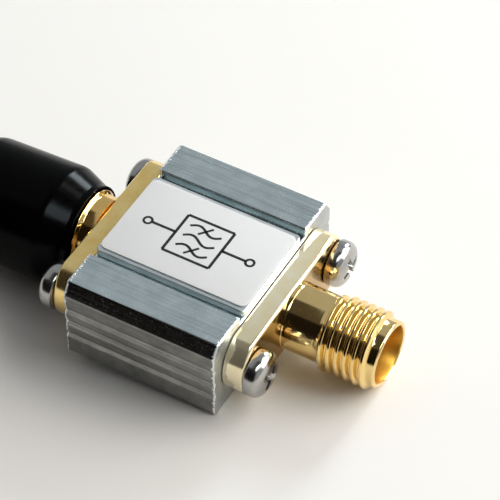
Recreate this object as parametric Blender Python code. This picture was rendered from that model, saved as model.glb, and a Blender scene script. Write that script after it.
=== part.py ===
"""Band-pass filter in a small extruded aluminium housing, with a flanged coaxial socket on each end.

World frame: origin at the centre of the housing's underside. +X runs along the connector axis
towards the open socket, +Z runs up through the cover plate. All sizes are in metres.
"""
import math

import bmesh
import bpy
from mathutils import Matrix, Vector

MM = 0.001

# Coaxial sockets
AXIS_RISE = 0.035 * MM
FLANGE_THICKNESS = 1.76 * MM
FLANGE_RIM = 0.02 * MM
FLANGE_END_BULGE = 0.26 * MM
FLANGE_END_MARGIN = 1.625 * MM
FLANGE_EDGE = 0.25 * MM
FLANGE_SEGMENTS = 14
ROOT_RING_STEP = 0.04 * MM
ROOT_RING_LENGTH = 0.28 * MM
ROOT_RING_EDGE = 0.07 * MM
NECK_LENGTH = 3.02 * MM
THREAD_RADIUS = 3.12 * MM
THREAD_DEPTH = 0.40 * MM
THREAD_PITCH = 0.7056 * MM
THREAD_TURNS = 6
THREAD_STEPS = 40
THREAD_RUNOUT = 0.20
LEAD_LENGTH = 0.28 * MM
LEAD_EDGE = 0.12 * MM
BARREL_WALL = 0.42 * MM
MOUTH_FLARE = 0.14 * MM
MOUTH_CHAMFER = 0.20 * MM
BORE_DEPTH = 1.95 * MM
BORE_SHOULDER = 0.25 * MM
INSULATOR_EDGE = 0.08 * MM

# One pitch of the thread: share of the pitch, share of the thread's height
THREAD_FORM = ((0.0, 0.0), (0.36, 1.0), (0.64, 1.0))

# Centre contact
CONTACT_RADIUS = 0.635 * MM
CONTACT_WALL = 0.165 * MM
CONTACT_HOLE_DEPTH = 2.60 * MM
CONTACT_DRILL_POINT = 0.25 * MM
CONTACT_RIM_EDGE = 0.08 * MM
CONTACT_RIM_FLARE = 0.04 * MM
CONTACT_SLOT_WIDTH = 0.16 * MM
CONTACT_SLOT_DEPTH = 1.80 * MM
CONTACT_SHOULDER = 0.18 * MM
PIN_RADIUS = 0.38 * MM
PIN_REACH = 1.30 * MM
CONTACT_STEPS = 20

# Flange screws
SCREW_SHANK_RADIUS = 0.98 * MM
SCREW_HOLE_FIT = 0.17 * MM
SCREW_TAP_FIT = 0.07 * MM
SCREW_TIP = 0.20 * MM
SCREW_HEAD_RADIUS = 1.93 * MM
SCREW_HEAD_HEIGHT = 1.50 * MM
SCREW_HEAD_WALL = 0.62 * MM
SCREW_HEAD_EDGE = 0.06 * MM
SCREW_CROWN_POWER = 0.62
SCREW_CROWN_STEPS = 6
SCREW_REACH = 3.60 * MM
SCREW_TAP_ROOM = 0.80 * MM
RECESS_SPAN = 2.10 * MM
RECESS_WIDTH = 0.50 * MM
RECESS_DEPTH = 0.90 * MM
RECESS_TAPER = 0.30
SCREW_TURN = 31.0
SCREW_STEPS = 28

# Loose dust cap over the second socket: it hangs a little to the near side and droops
CAP_WALL = 1.005 * MM
CAP_LIP_WALL = 0.15 * MM
CAP_LIP_LENGTH = 0.45 * MM
CAP_LIP_EDGE = 0.08 * MM
CAP_CONE_LENGTH = 2.30 * MM
CAP_SHOULDER_LENGTH = 0.30 * MM
CAP_SHOULDER_DROP = 0.05 * MM
CAP_END_RADIUS = 2.40 * MM
CAP_END_WALL = 2.00 * MM
CAP_BORE_ROOM = 2.66 * MM
CAP_BORE_EDGE = 0.40 * MM
CAP_MOUTH_GAP = 1.30 * MM
CAP_SHIFT = 0.33 * MM
CAP_SAG = 0.38 * MM
CAP_YAW = math.radians(1.5)
CAP_DROOP = math.radians(1.2)
CAP_TO_HEAD = 0.07 * MM
CAP_STEPS = 44
CAP_END_STEPS = 6

# Housing: an extrusion along X, sawn off square at both ends
CASE_LENGTH = 13.2 * MM
CASE_HEIGHT = 7.53 * MM
CASE_SIDE_MARGIN = 1.04 * MM
SHOULDER_WIDTH = 0.70 * MM
CHAMFER_DROP = 1.09 * MM
FOOT_RADIUS = 0.25 * MM

# V grooves along both sides of the extrusion
GROOVE_COUNT = 3
GROOVE_PITCH = 1.345 * MM
GROOVE_MARGIN = 1.25 * MM
GROOVE_OPENING = 0.66 * MM
GROOVE_DEPTH = 0.34 * MM
GROOVE_FLOOR_SHARE = 0.42

# Channel between the two top rails, and the circuit pocket below it
RAIL_INNER_Y = 5.13 * MM
CHANNEL_DEPTH = 0.80 * MM
RAIL_LIP = 0.08 * MM
END_WALL = 2.15 * MM
COVER_LEDGE = 0.59 * MM
POCKET_DROP = 1.75 * MM
POCKET_CORNER = 0.80 * MM
BORE_BREAKTHROUGH = 0.30 * MM

# Cover plate in the channel and the label on it
COVER_SIDE_GAP = 0.64 * MM
COVER_THICKNESS = 0.62 * MM
COVER_END_SETBACK = 0.06 * MM
COVER_CORNER = 0.35 * MM
COVER_EDGE = 0.06 * MM
LABEL_END_MARGIN = 0.10 * MM
LABEL_SIDE_MARGIN = 0.37 * MM
LABEL_THICKNESS = 0.08 * MM
LABEL_CORNER = 0.55 * MM

# Circuit board and what it carries
BOARD_THICKNESS = 0.80 * MM
BOARD_FLOOR_GAP = 0.06 * MM
BOARD_SIDE_GAP = 0.25 * MM
PAD_HEIGHT = 0.06 * MM
COIL_COUNT = 3
COIL_GAP = 0.17 * MM
COIL_RADIUS = 0.80 * MM
COIL_WIRE_RADIUS = 0.14 * MM
COIL_TURNS = 3
COIL_PITCH = 0.50 * MM
COIL_OFFSET_Y = 1.75 * MM
COIL_TAIL_LIFT = 0.056 * MM
COIL_STEPS = 12
COIL_SIDES = 6
CHIP_COUNT = 4
CHIP_SPACING = 1.70 * MM
CHIP_SIZE = (0.80 * MM, 1.25 * MM, 0.55 * MM)
CHIP_EDGE = 0.06 * MM
CHIP_OFFSET_Y = -1.90 * MM
SOLDER_LENGTH = 1.00 * MM
SOLDER_HALF_WIDTH = 0.75 * MM
SOLDER_END_GAP = 0.35 * MM

# Solder fillet: share of its half width, share of its height
SOLDER_FORM = ((1.0, 0.0), (0.55, 0.75), (0.30, 1.0))

# Clearances between separate pieces, and how far a cutting tool runs past the surface it opens
SEAT = 0.06 * MM
CLEAR = 0.05 * MM
THREAD_CLEAR = 0.05 * MM
OVERRUN = 1.0 * MM
WELD = 1e-7

# The two ends of the part and the two sides of each flange, with their directions along X and Y
ENDS = (("open", 1), ("capped", -1))
SIDES = (("near", -1), ("far", 1))

# Radii of the barrel, outside and inside, and of what passes through the flange
THREAD_ROOT_RADIUS = THREAD_RADIUS - THREAD_DEPTH
ROOT_RING_RADIUS = THREAD_ROOT_RADIUS + ROOT_RING_STEP
FLANGE_HALF_HEIGHT = ROOT_RING_RADIUS + FLANGE_RIM
FLANGE_END_RADIUS = FLANGE_HALF_HEIGHT + FLANGE_END_BULGE
BORE_RADIUS = THREAD_ROOT_RADIUS - BARREL_WALL
MOUTH_RADIUS = BORE_RADIUS + MOUTH_FLARE
INSULATOR_RADIUS = BORE_RADIUS - BORE_SHOULDER
CONTACT_HOLE_RADIUS = CONTACT_RADIUS - CONTACT_WALL
SCREW_HOLE_RADIUS = SCREW_SHANK_RADIUS + SCREW_HOLE_FIT
SCREW_TAP_RADIUS = SCREW_SHANK_RADIUS + SCREW_TAP_FIT
SCREW_TAP_DEPTH = SCREW_REACH + SCREW_TAP_ROOM

# Places along X, measured out from the housing's centre
CASE_END_X = CASE_LENGTH / 2
POCKET_END_X = CASE_END_X - END_WALL
FLANGE_BACK_X = CASE_END_X + SEAT
FLANGE_FRONT_X = FLANGE_BACK_X + FLANGE_THICKNESS
FLANGE_MIDDLE_X = FLANGE_BACK_X + FLANGE_THICKNESS / 2
THREAD_LENGTH = (THREAD_TURNS + 1) * THREAD_PITCH
BARREL_LENGTH = NECK_LENGTH + THREAD_LENGTH + LEAD_LENGTH
MOUTH_X = FLANGE_FRONT_X + BARREL_LENGTH
BORE_FLOOR_X = MOUTH_X - BORE_DEPTH
SCREW_SEAT_X = FLANGE_FRONT_X + SEAT
SCREW_TOP_X = SCREW_SEAT_X + SCREW_HEAD_HEIGHT

# The cap's bore clears the last thread crest, where the cap stands farthest off the axis
CAP_REACH = NECK_LENGTH + THREAD_LENGTH - CAP_MOUTH_GAP
CAP_STAND_OFF = math.hypot(
    CAP_SHIFT + CAP_REACH * math.tan(CAP_YAW),
    CAP_SAG + CAP_REACH * math.tan(CAP_DROOP),
)
CAP_BORE_RADIUS = THREAD_RADIUS + CAP_STAND_OFF + THREAD_CLEAR
CAP_LIP_RADIUS = CAP_BORE_RADIUS + CAP_LIP_WALL
CAP_RADIUS = CAP_BORE_RADIUS + CAP_WALL
CAP_BORE_DEPTH = BARREL_LENGTH - CAP_MOUTH_GAP + CAP_BORE_ROOM
CAP_LENGTH = CAP_BORE_DEPTH + CAP_END_WALL

# The screw heads stand clear of the shifted lip, and the flange and the housing follow the screws
SCREW_Y = CAP_LIP_RADIUS + CAP_SHIFT + CAP_TO_HEAD + SCREW_HEAD_RADIUS
FLANGE_HALF_LENGTH = SCREW_Y + FLANGE_END_MARGIN
CASE_HALF_WIDTH = FLANGE_HALF_LENGTH + CASE_SIDE_MARGIN
TOP_HALF_WIDTH = CASE_HALF_WIDTH - SHOULDER_WIDTH

# Widths in the channel and the pocket, and the pitch of the coils
COVER_HALF_WIDTH = RAIL_INNER_Y - COVER_SIDE_GAP
POCKET_HALF_WIDTH = COVER_HALF_WIDTH - COVER_LEDGE
COVER_HALF_LENGTH = CASE_END_X - COVER_END_SETBACK
COIL_SPACING = 2.0 * (COIL_RADIUS + COIL_WIRE_RADIUS) + COIL_GAP

# Heights: the connectors' axis runs just above mid height, and the board lies below their pins
AXIS_Z = CASE_HEIGHT / 2 + AXIS_RISE
GROOVE_TOP_Z = CASE_HEIGHT - CHAMFER_DROP - GROOVE_MARGIN
POCKET_FLOOR_Z = AXIS_Z - POCKET_DROP
CHANNEL_FLOOR_Z = CASE_HEIGHT - CHANNEL_DEPTH
COVER_BOTTOM_Z = CHANNEL_FLOOR_Z + SEAT
LABEL_BOTTOM_Z = COVER_BOTTOM_Z + COVER_THICKNESS + CLEAR
BOARD_BOTTOM_Z = POCKET_FLOOR_Z + BOARD_FLOOR_GAP
BOARD_TOP_Z = BOARD_BOTTOM_Z + BOARD_THICKNESS


def clear_scene():
    for item in list(bpy.data.objects):
        bpy.data.objects.remove(item, do_unlink=True)


def material(name, colour, roughness, metallic):
    shade = bpy.data.materials.get(name) or bpy.data.materials.new(name)
    shade.use_nodes = True
    surface = shade.node_tree.nodes["Principled BSDF"]
    surface.inputs["Base Color"].default_value = (*colour, 1.0)
    surface.inputs["Roughness"].default_value = roughness
    surface.inputs["Metallic"].default_value = metallic
    shade.diffuse_color = (*colour, 1.0)
    return shade


def aluminium():
    return material("aluminium", (0.60, 0.62, 0.63), 0.38, 1.0)


def gold_plate():
    return material("gold_plate", (0.83, 0.66, 0.36), 0.22, 1.0)


def nickel():
    return material("nickel", (0.74, 0.73, 0.70), 0.20, 1.0)


def white_insulator():
    return material("white_insulator", (0.88, 0.87, 0.83), 0.45, 0.0)


def label_film():
    return material("label_film", (0.80, 0.80, 0.78), 0.50, 0.0)


def black_plastic():
    return material("black_plastic", (0.012, 0.012, 0.013), 0.28, 0.0)


def board_laminate():
    return material("board_laminate", (0.06, 0.22, 0.12), 0.50, 0.0)


def enamelled_copper():
    return material("enamelled_copper", (0.70, 0.33, 0.16), 0.30, 1.0)


def chip_ceramic():
    return material("chip_ceramic", (0.48, 0.38, 0.28), 0.50, 0.0)


def solder():
    return material("solder", (0.66, 0.67, 0.68), 0.28, 1.0)


def add_object(name, mesh, shade):
    piece = bpy.data.objects.new(name, mesh)
    bpy.context.collection.objects.link(piece)
    if shade and not mesh.materials:
        mesh.materials.append(shade)
    return piece


def mesh_from(name, work):
    bmesh.ops.recalc_face_normals(work, faces=work.faces)
    mesh = bpy.data.meshes.new(name)
    work.to_mesh(mesh)
    work.free()
    return mesh


def smooth(mesh, angle=35.0):
    mesh.shade_smooth()
    mesh.set_sharp_from_angle(angle=math.radians(angle))
    return mesh


def turned(name, outline, steps):
    """Closed body of revolution about X from (x, radius) points that start and end on the axis
    or come back to their first point."""
    work = bmesh.new()
    rings = []
    for x, radius in outline:
        if radius < WELD:
            rings.append([work.verts.new((x, 0.0, 0.0))])
            continue
        ring = []
        for step in range(steps):
            angle = math.tau * step / steps
            ring.append(work.verts.new((x, radius * math.cos(angle), radius * math.sin(angle))))
        rings.append(ring)
    pairs = list(zip(rings, rings[1:]))
    if len(rings[0]) > 1:
        pairs.append((rings[-1], rings[0]))
    for first, second in pairs:
        bridge(work, first, second, steps)
    return mesh_from(name, work)


def bridge(work, first, second, steps):
    for step in range(steps):
        after = (step + 1) % steps
        if len(first) == 1:
            work.faces.new((first[0], second[step], second[after]))
        elif len(second) == 1:
            work.faces.new((first[step], first[after], second[0]))
        else:
            work.faces.new((first[step], first[after], second[after], second[step]))


def prism(name, outline, start, end, place):
    """Solid between two parallel planes over a closed outline; place maps (u, v, w) to a point."""
    work = bmesh.new()
    near = [work.verts.new(place(u, v, start)) for u, v in outline]
    far = [work.verts.new(place(u, v, end)) for u, v in outline]
    work.faces.new(near)
    work.faces.new(far[::-1])
    for index in range(len(outline)):
        after = (index + 1) % len(outline)
        work.faces.new((near[index], near[after], far[after], far[index]))
    return mesh_from(name, work)


def along_x(u, v, w):
    return (w, u, v)


def along_z(u, v, w):
    return (u, v, w)


def rounded_rectangle(half_u, half_v, radius, steps=4):
    points = []
    corners = ((1, 1, 0), (-1, 1, 90), (-1, -1, 180), (1, -1, 270))
    for sign_u, sign_v, first in corners:
        centre_u = sign_u * (half_u - radius)
        centre_v = sign_v * (half_v - radius)
        for step in range(steps + 1):
            angle = math.radians(first + 90.0 * step / steps)
            points.append((centre_u + radius * math.cos(angle), centre_v + radius * math.sin(angle)))
    return points


def cutter(name, mesh):
    piece = add_object(name, mesh, None)
    piece.hide_render = True
    piece.display_type = "WIRE"
    return piece


def apply_boolean(target, tool, operation):
    step = target.modifiers.new(tool.name, "BOOLEAN")
    step.operation = operation
    step.solver = "EXACT"
    step.object = tool
    return step


def bevel(target, width, segments, angle=40.0):
    step = target.modifiers.new("edge", "BEVEL")
    step.width = width
    step.segments = segments
    step.limit_method = "ANGLE"
    step.angle_limit = math.radians(angle)
    step.harden_normals = False
    return step


def heading(end):
    """Turn about Z that points a piece's own +X out of the given end."""
    return 0.0 if end > 0 else math.pi


def housing_profile():
    """Cross-section in (y, z): half of it, then its mirror image."""
    half = [(RAIL_INNER_Y, CHANNEL_FLOOR_Z)]
    half.append((RAIL_INNER_Y, CASE_HEIGHT - RAIL_LIP))
    half.append((RAIL_INNER_Y + RAIL_LIP, CASE_HEIGHT))
    half.append((TOP_HALF_WIDTH, CASE_HEIGHT))
    half.append((CASE_HALF_WIDTH, CASE_HEIGHT - CHAMFER_DROP))
    for index in range(GROOVE_COUNT):
        top = GROOVE_TOP_Z - index * GROOVE_PITCH
        low = top - GROOVE_OPENING
        half.append((CASE_HALF_WIDTH, top))
        half.append((CASE_HALF_WIDTH - GROOVE_DEPTH, low + GROOVE_FLOOR_SHARE * GROOVE_OPENING))
        half.append((CASE_HALF_WIDTH, low))
    half.append((CASE_HALF_WIDTH, FOOT_RADIUS))
    half.append((CASE_HALF_WIDTH - FOOT_RADIUS, 0.0))
    mirrored = [(-y, z) for y, z in reversed(half)]
    return half + mirrored


def end_bore(name, end, y, radius, inner, outer, steps):
    """Round cutter at the axis height through one end, from inner to outer along X."""
    mesh = turned(name, [(inner, 0.0), (inner, radius), (outer, radius), (outer, 0.0)], steps)
    piece = cutter(name, mesh)
    piece.location = (0.0, y, AXIS_Z)
    piece.rotation_euler = (0.0, 0.0, heading(end))
    return piece


def build_housing():
    mesh = prism("housing", housing_profile(), -CASE_END_X, CASE_END_X, along_x)
    piece = add_object("housing", mesh, aluminium())
    outline = rounded_rectangle(POCKET_END_X, POCKET_HALF_WIDTH, POCKET_CORNER)
    well = prism("cut_pocket", outline, POCKET_FLOOR_Z, CASE_HEIGHT + OVERRUN, along_z)
    pocket = cutter("cut_pocket", well)
    apply_boolean(piece, pocket, "DIFFERENCE")
    inner = POCKET_END_X - BORE_BREAKTHROUGH
    outer = CASE_END_X + OVERRUN
    for tag, end in ENDS:
        bore = end_bore(f"cut_{tag}_bore", end, 0.0, INSULATOR_RADIUS + CLEAR, inner, outer, 32)
        apply_boolean(piece, bore, "DIFFERENCE")
        for y_tag, side in SIDES:
            bottom = CASE_END_X - SCREW_TAP_DEPTH
            name = f"cut_{tag}_{y_tag}_tap"
            tap = end_bore(name, end, side * SCREW_Y, SCREW_TAP_RADIUS, bottom, outer, 20)
            apply_boolean(piece, tap, "DIFFERENCE")
    return piece


def build_cover():
    outline = rounded_rectangle(COVER_HALF_LENGTH, COVER_HALF_WIDTH, COVER_CORNER)
    mesh = prism("cover_plate", outline, COVER_BOTTOM_Z, COVER_BOTTOM_Z + COVER_THICKNESS, along_z)
    piece = add_object("cover_plate", mesh, aluminium())
    bevel(piece, COVER_EDGE, 1, 60.0)
    return piece


def build_label():
    half_length = COVER_HALF_LENGTH - LABEL_END_MARGIN
    outline = rounded_rectangle(half_length, COVER_HALF_WIDTH - LABEL_SIDE_MARGIN, LABEL_CORNER)
    mesh = prism("label", outline, LABEL_BOTTOM_Z, LABEL_BOTTOM_Z + LABEL_THICKNESS, along_z)
    return add_object("label", mesh, label_film())


def flange_outline():
    """Outline in (y, z) about the axis: flat top and bottom, ends struck from a radius."""
    centre = FLANGE_HALF_LENGTH - FLANGE_END_RADIUS
    reach = math.asin(FLANGE_HALF_HEIGHT / FLANGE_END_RADIUS)
    points = []
    for side in (1, -1):
        for step in range(FLANGE_SEGMENTS + 1):
            angle = -reach + 2.0 * reach * step / FLANGE_SEGMENTS
            y = side * (centre + FLANGE_END_RADIUS * math.cos(angle))
            z = side * FLANGE_END_RADIUS * math.sin(angle)
            points.append((y, z))
    return points


def thread_point(row, step):
    """Place along X and radius of one thread point, tapering in and out at the thread's ends."""
    share, height = THREAD_FORM[row % len(THREAD_FORM)]
    along = row // len(THREAD_FORM) + step / THREAD_STEPS
    taper = max(0.0, min(1.0, along / THREAD_RUNOUT, (THREAD_TURNS - along) / THREAD_RUNOUT))
    x = FLANGE_FRONT_X + NECK_LENGTH + THREAD_PITCH * (along + share)
    return x, THREAD_ROOT_RADIUS + (THREAD_RADIUS - THREAD_ROOT_RADIUS) * height * taper


def barrel_outline_back():
    """Turned steps between the flange and the thread's first ring."""
    return [
        (FLANGE_MIDDLE_X, ROOT_RING_RADIUS),
        (FLANGE_FRONT_X + ROOT_RING_LENGTH, ROOT_RING_RADIUS),
        (FLANGE_FRONT_X + ROOT_RING_LENGTH + ROOT_RING_EDGE, THREAD_ROOT_RADIUS),
        (FLANGE_FRONT_X + NECK_LENGTH - CLEAR, THREAD_ROOT_RADIUS),
    ]


def barrel_outline_front():
    """Lead beyond the thread, the rim and the bore back to the start plane."""
    return [
        (MOUTH_X - LEAD_LENGTH + CLEAR, THREAD_ROOT_RADIUS),
        (MOUTH_X - LEAD_EDGE, THREAD_ROOT_RADIUS),
        (MOUTH_X, THREAD_ROOT_RADIUS - LEAD_EDGE),
        (MOUTH_X, MOUTH_RADIUS),
        (MOUTH_X - MOUTH_CHAMFER, BORE_RADIUS),
        (BORE_FLOOR_X, BORE_RADIUS),
        (BORE_FLOOR_X, INSULATOR_RADIUS + CLEAR),
        (FLANGE_MIDDLE_X, INSULATOR_RADIUS + CLEAR),
    ]


def turned_ring(work, x, radius, steps):
    ring = []
    for step in range(steps):
        angle = math.tau * step / steps
        ring.append(work.verts.new((x, radius * math.cos(angle), radius * math.sin(angle))))
    return ring


def threaded_barrel(name):
    """Barrel with a real helical thread. Its rows climb one pitch a turn, so the last column of
    one turn's row meets the first column of the same row a turn later; both ends close on plain
    rings."""
    work = bmesh.new()
    count = THREAD_STEPS
    per_turn = len(THREAD_FORM)
    back = [turned_ring(work, x, radius, count) for x, radius in barrel_outline_back()]
    front = [turned_ring(work, x, radius, count) for x, radius in barrel_outline_front()]
    for rings in (back, front):
        for first, second in zip(rings, rings[1:]):
            bridge(work, first, second, count)
    bridge(work, front[-1], back[0], count)

    last = per_turn * THREAD_TURNS
    grid = []
    for row in range(last + 1):
        line = []
        for step in range(count):
            x, radius = thread_point(row, step)
            angle = math.tau * step / count
            line.append(work.verts.new((x, radius * math.cos(angle), radius * math.sin(angle))))
        grid.append(line)
    for row, beyond in zip(range(last), range(1, last + 1)):
        for step in range(count - 1):
            work.faces.new((grid[row][step], grid[row][step + 1], grid[beyond][step + 1], grid[beyond][step]))
        if beyond + per_turn <= last:
            wrapped, after = grid[row + per_turn][0], grid[beyond + per_turn][0]
            work.faces.new((grid[row][-1], wrapped, after, grid[beyond][-1]))
    # Both ends: the outer rows meet the plain rings, and one face closes the step of a pitch
    for ring, edge in ((back[-1], grid[0]), (front[0], grid[last])):
        for step in range(count - 1):
            work.faces.new((ring[step], ring[step + 1], edge[step + 1], edge[step]))
    start = [grid[row][0] for row in range(per_turn + 1)]
    finish = [grid[row][-1] for row in range(last, last - per_turn - 1, -1)]
    work.faces.new([back[-1][-1], back[-1][0]] + start + [grid[0][-1]])
    work.faces.new([front[0][0], front[0][-1]] + finish + [grid[last][0]])
    return mesh_from(name, work)


def connector_mesh():
    """Flange and threaded barrel as one gold-plated body, pointing along +X from the housing."""
    plate = prism("connector_blank", flange_outline(), FLANGE_BACK_X, FLANGE_FRONT_X, along_x)
    body = add_object("connector_blank", plate, gold_plate())
    bevel(body, FLANGE_EDGE, 2, 50.0)
    barrel = cutter("join_barrel", threaded_barrel("join_barrel"))
    apply_boolean(body, barrel, "UNION")
    tools = [barrel, through_hole("cut_core", INSULATOR_RADIUS + CLEAR, THREAD_STEPS, 0.0)]
    for y_tag, side in SIDES:
        tools.append(through_hole(f"cut_{y_tag}_hole", SCREW_HOLE_RADIUS, 20, side * SCREW_Y))
    for tool in tools[1:]:
        apply_boolean(body, tool, "DIFFERENCE")
    return bake(body, tools, "connector")


def through_hole(name, radius, steps, y):
    """Round cutter right through the flange."""
    start = FLANGE_BACK_X - OVERRUN
    end = FLANGE_FRONT_X + OVERRUN
    piece = cutter(name, turned(name, [(start, 0.0), (start, radius), (end, radius), (end, 0.0)], steps))
    piece.location = (0.0, y, 0.0)
    return piece


def build_connectors(axes):
    mesh = connector_mesh()
    for tag, axis in axes.items():
        piece = add_object(f"{tag}_connector_body", mesh, None)
        piece.parent = axis


def insulator_outline():
    back = POCKET_END_X + SEAT
    inner = CONTACT_RADIUS + CLEAR
    return [
        (back, inner),
        (back, INSULATOR_RADIUS),
        (BORE_FLOOR_X - INSULATOR_EDGE, INSULATOR_RADIUS),
        (BORE_FLOOR_X, INSULATOR_RADIUS - INSULATOR_EDGE),
        (BORE_FLOOR_X, inner),
    ]


def build_insulator(tag):
    mesh = turned(f"{tag}_insulator", insulator_outline(), 32)
    return add_object(f"{tag}_insulator", smooth(mesh), white_insulator())


def contact_outline():
    floor = BORE_FLOOR_X - CONTACT_HOLE_DEPTH
    shoulder = POCKET_END_X - CONTACT_SHOULDER
    tip = POCKET_END_X - PIN_REACH
    return [
        (tip, 0.0),
        (tip, PIN_RADIUS),
        (shoulder, PIN_RADIUS),
        (shoulder, CONTACT_RADIUS),
        (BORE_FLOOR_X - CONTACT_RIM_EDGE, CONTACT_RADIUS),
        (BORE_FLOOR_X, CONTACT_RADIUS - CONTACT_RIM_FLARE),
        (BORE_FLOOR_X, CONTACT_HOLE_RADIUS + CONTACT_RIM_FLARE),
        (BORE_FLOOR_X - CONTACT_RIM_EDGE, CONTACT_HOLE_RADIUS),
        (floor, CONTACT_HOLE_RADIUS),
        (floor - CONTACT_DRILL_POINT, 0.0),
    ]


def slot_tool(name, turn):
    """Flat blade across the contact's mouth, cutting one pair of its four spring fingers."""
    half = CONTACT_SLOT_WIDTH / 2
    reach = CONTACT_RADIUS + OVERRUN
    outline = [(-half, -reach), (half, -reach), (half, reach), (-half, reach)]
    mesh = prism(name, outline, BORE_FLOOR_X - CONTACT_SLOT_DEPTH, BORE_FLOOR_X + OVERRUN, along_x)
    piece = cutter(name, mesh)
    piece.rotation_euler = (turn, 0.0, 0.0)
    return piece


def build_contact(tag):
    mesh = turned(f"{tag}_contact", contact_outline(), CONTACT_STEPS)
    piece = add_object(f"{tag}_contact", smooth(mesh), gold_plate())
    tools = []
    for index in range(2):
        tool = slot_tool(f"cut_{tag}_slot_{index}", math.pi * (0.25 + 0.5 * index))
        apply_boolean(piece, tool, "DIFFERENCE")
        tools.append(tool)
    return piece, tools


def screw_outline():
    """Pan head screw about X, seated on the flange's front face."""
    tip = CASE_END_X - SCREW_REACH
    crown = SCREW_HEAD_HEIGHT - SCREW_HEAD_WALL
    points = [
        (tip, 0.0),
        (tip, SCREW_SHANK_RADIUS - SCREW_TIP),
        (tip + SCREW_TIP, SCREW_SHANK_RADIUS),
        (SCREW_SEAT_X, SCREW_SHANK_RADIUS),
        (SCREW_SEAT_X, SCREW_HEAD_RADIUS - SCREW_HEAD_EDGE),
        (SCREW_SEAT_X + SCREW_HEAD_EDGE, SCREW_HEAD_RADIUS),
    ]
    for step in range(SCREW_CROWN_STEPS):
        angle = 0.5 * math.pi * step / SCREW_CROWN_STEPS
        x = SCREW_SEAT_X + SCREW_HEAD_WALL + crown * math.sin(angle)
        points.append((x, SCREW_HEAD_RADIUS * math.cos(angle) ** SCREW_CROWN_POWER))
    points.append((SCREW_TOP_X, 0.0))
    return points


def recess_tool():
    """Cross recess: a plus-shaped punch that narrows towards its floor."""
    top = SCREW_TOP_X + CLEAR
    floor = SCREW_TOP_X - RECESS_DEPTH
    arm = RECESS_SPAN / 2
    half = RECESS_WIDTH / 2
    plus = []
    for quarter in range(4):
        turn = Matrix.Rotation(0.5 * math.pi * quarter, 2)
        for point in ((arm, -half), (arm, half), (half, half)):
            plus.append(turn @ Vector(point))
    work = bmesh.new()
    outer = [work.verts.new((top, p.x, p.y)) for p in plus]
    inner = [work.verts.new((floor, p.x * RECESS_TAPER, p.y * RECESS_TAPER)) for p in plus]
    work.faces.new(outer)
    work.faces.new(inner[::-1])
    for index in range(len(plus)):
        after = (index + 1) % len(plus)
        work.faces.new((outer[index], outer[after], inner[after], inner[index]))
    return cutter("cut_recess", mesh_from("cut_recess", work))


def screw_mesh():
    """One screw with its recess cut, baked so that all four share the mesh."""
    blank = add_object("screw_blank", turned("screw_blank", screw_outline(), SCREW_STEPS), nickel())
    tool = recess_tool()
    apply_boolean(blank, tool, "DIFFERENCE")
    return bake(blank, [tool], "screw")


def bake(piece, tools, name):
    """Mesh of the piece with its modifiers worked in; the piece and its tools are removed."""
    bpy.context.view_layer.update()
    graph = bpy.context.evaluated_depsgraph_get()
    mesh = bpy.data.meshes.new_from_object(piece.evaluated_get(graph), depsgraph=graph)
    mesh.name = name
    for item in tools + [piece]:
        bpy.data.objects.remove(item, do_unlink=True)
    return smooth(mesh)


def build_screws(axes):
    """Four screws, each turned to rest differently; an axis that points along -X mirrors Y."""
    mesh = screw_mesh()
    for index, (tag, end) in enumerate(ENDS):
        for y_tag, side in SIDES:
            piece = add_object(f"{tag}_{y_tag}_screw", mesh, None)
            piece.parent = axes[tag]
            piece.location = (0.0, end * side * SCREW_Y, 0.0)
            piece.rotation_euler = (math.radians(SCREW_TURN * (side + 2 * index)), 0.0, 0.0)


def cap_outline():
    """Moulded cap from its bore's floor: bore, mouth at 0, thin lip, cone, barrel, rounded end."""
    points = [
        (CAP_BORE_DEPTH, 0.0),
        (CAP_BORE_DEPTH, CAP_BORE_RADIUS - CAP_BORE_EDGE),
        (CAP_BORE_DEPTH - CAP_BORE_EDGE, CAP_BORE_RADIUS),
        (0.0, CAP_BORE_RADIUS),
        (0.0, CAP_LIP_RADIUS - CAP_LIP_EDGE),
        (CAP_LIP_EDGE, CAP_LIP_RADIUS),
        (CAP_LIP_LENGTH, CAP_LIP_RADIUS),
        (CAP_CONE_LENGTH, CAP_RADIUS - CAP_SHOULDER_DROP),
        (CAP_CONE_LENGTH + CAP_SHOULDER_LENGTH, CAP_RADIUS),
    ]
    for step in range(CAP_END_STEPS + 1):
        angle = 0.5 * math.pi * step / CAP_END_STEPS
        x = CAP_LENGTH - CAP_END_RADIUS + CAP_END_RADIUS * math.sin(angle)
        points.append((x, CAP_RADIUS - CAP_END_RADIUS + CAP_END_RADIUS * math.cos(angle)))
    points.append((CAP_LENGTH, 0.0))
    return points


def build_cap(axis):
    """Cap hanging loosely on its socket, shifted to the near side and tilted about its mouth."""
    mesh = turned("dust_cap", cap_outline(), CAP_STEPS)
    piece = add_object("dust_cap", smooth(mesh, 30.0), black_plastic())
    piece.parent = axis
    piece.location = (FLANGE_FRONT_X + CAP_MOUTH_GAP, CAP_SHIFT, -CAP_SAG)
    piece.rotation_euler = (0.0, CAP_DROOP, CAP_YAW)
    return piece


def build_board():
    half_length = POCKET_END_X - BOARD_SIDE_GAP
    half_width = POCKET_HALF_WIDTH - BOARD_SIDE_GAP
    outline = rounded_rectangle(half_length, half_width, POCKET_CORNER)
    mesh = prism("circuit_board", outline, BOARD_BOTTOM_Z, BOARD_TOP_Z, along_z)
    return add_object("circuit_board", mesh, board_laminate())


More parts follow.
